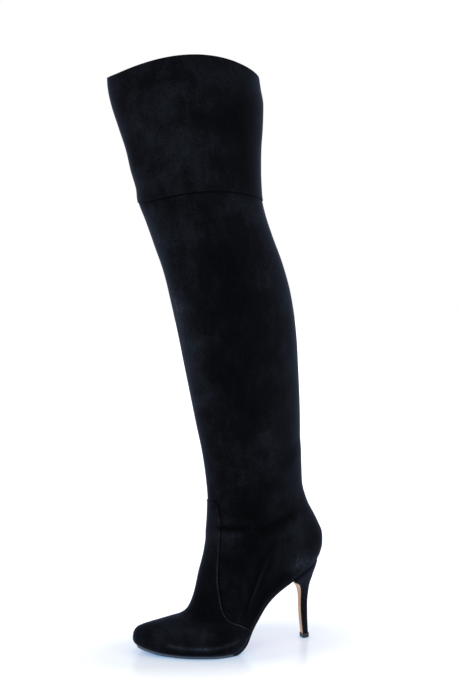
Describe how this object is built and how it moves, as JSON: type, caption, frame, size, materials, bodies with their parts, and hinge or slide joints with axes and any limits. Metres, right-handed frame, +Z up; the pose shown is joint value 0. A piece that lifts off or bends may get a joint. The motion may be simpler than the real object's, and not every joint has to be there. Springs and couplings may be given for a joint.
{
  "type": "thigh high boot",
  "caption": "Thigh high stiletto boot for the left foot, pointed almond toe, hollow suede leg with arched collar.",
  "frame": {"origin": "on the floor under the middle of the boot's bounding box", "axes": "+Z up along the leg, the toe points to -X, the outer side of the foot is -Y and the inner side is +Y"},
  "size_m": [0.2522, 0.0988, 0.6576],
  "materials": {
    "upper": "black suede",
    "thigh_panel": "black suede",
    "insole": "smooth black lining leather",
    "outsole": "tan sole leather",
    "heel": "moulded block covered in black suede",
    "top_lift": "hard black rubber"
  },
  "bodies": {
    "root": {"upper": "upper", "thigh_panel": "thigh_panel", "insole": "insole", "outsole": "outsole", "heel": "heel", "top_lift": "top_lift"}
  },
  "joints": []
}
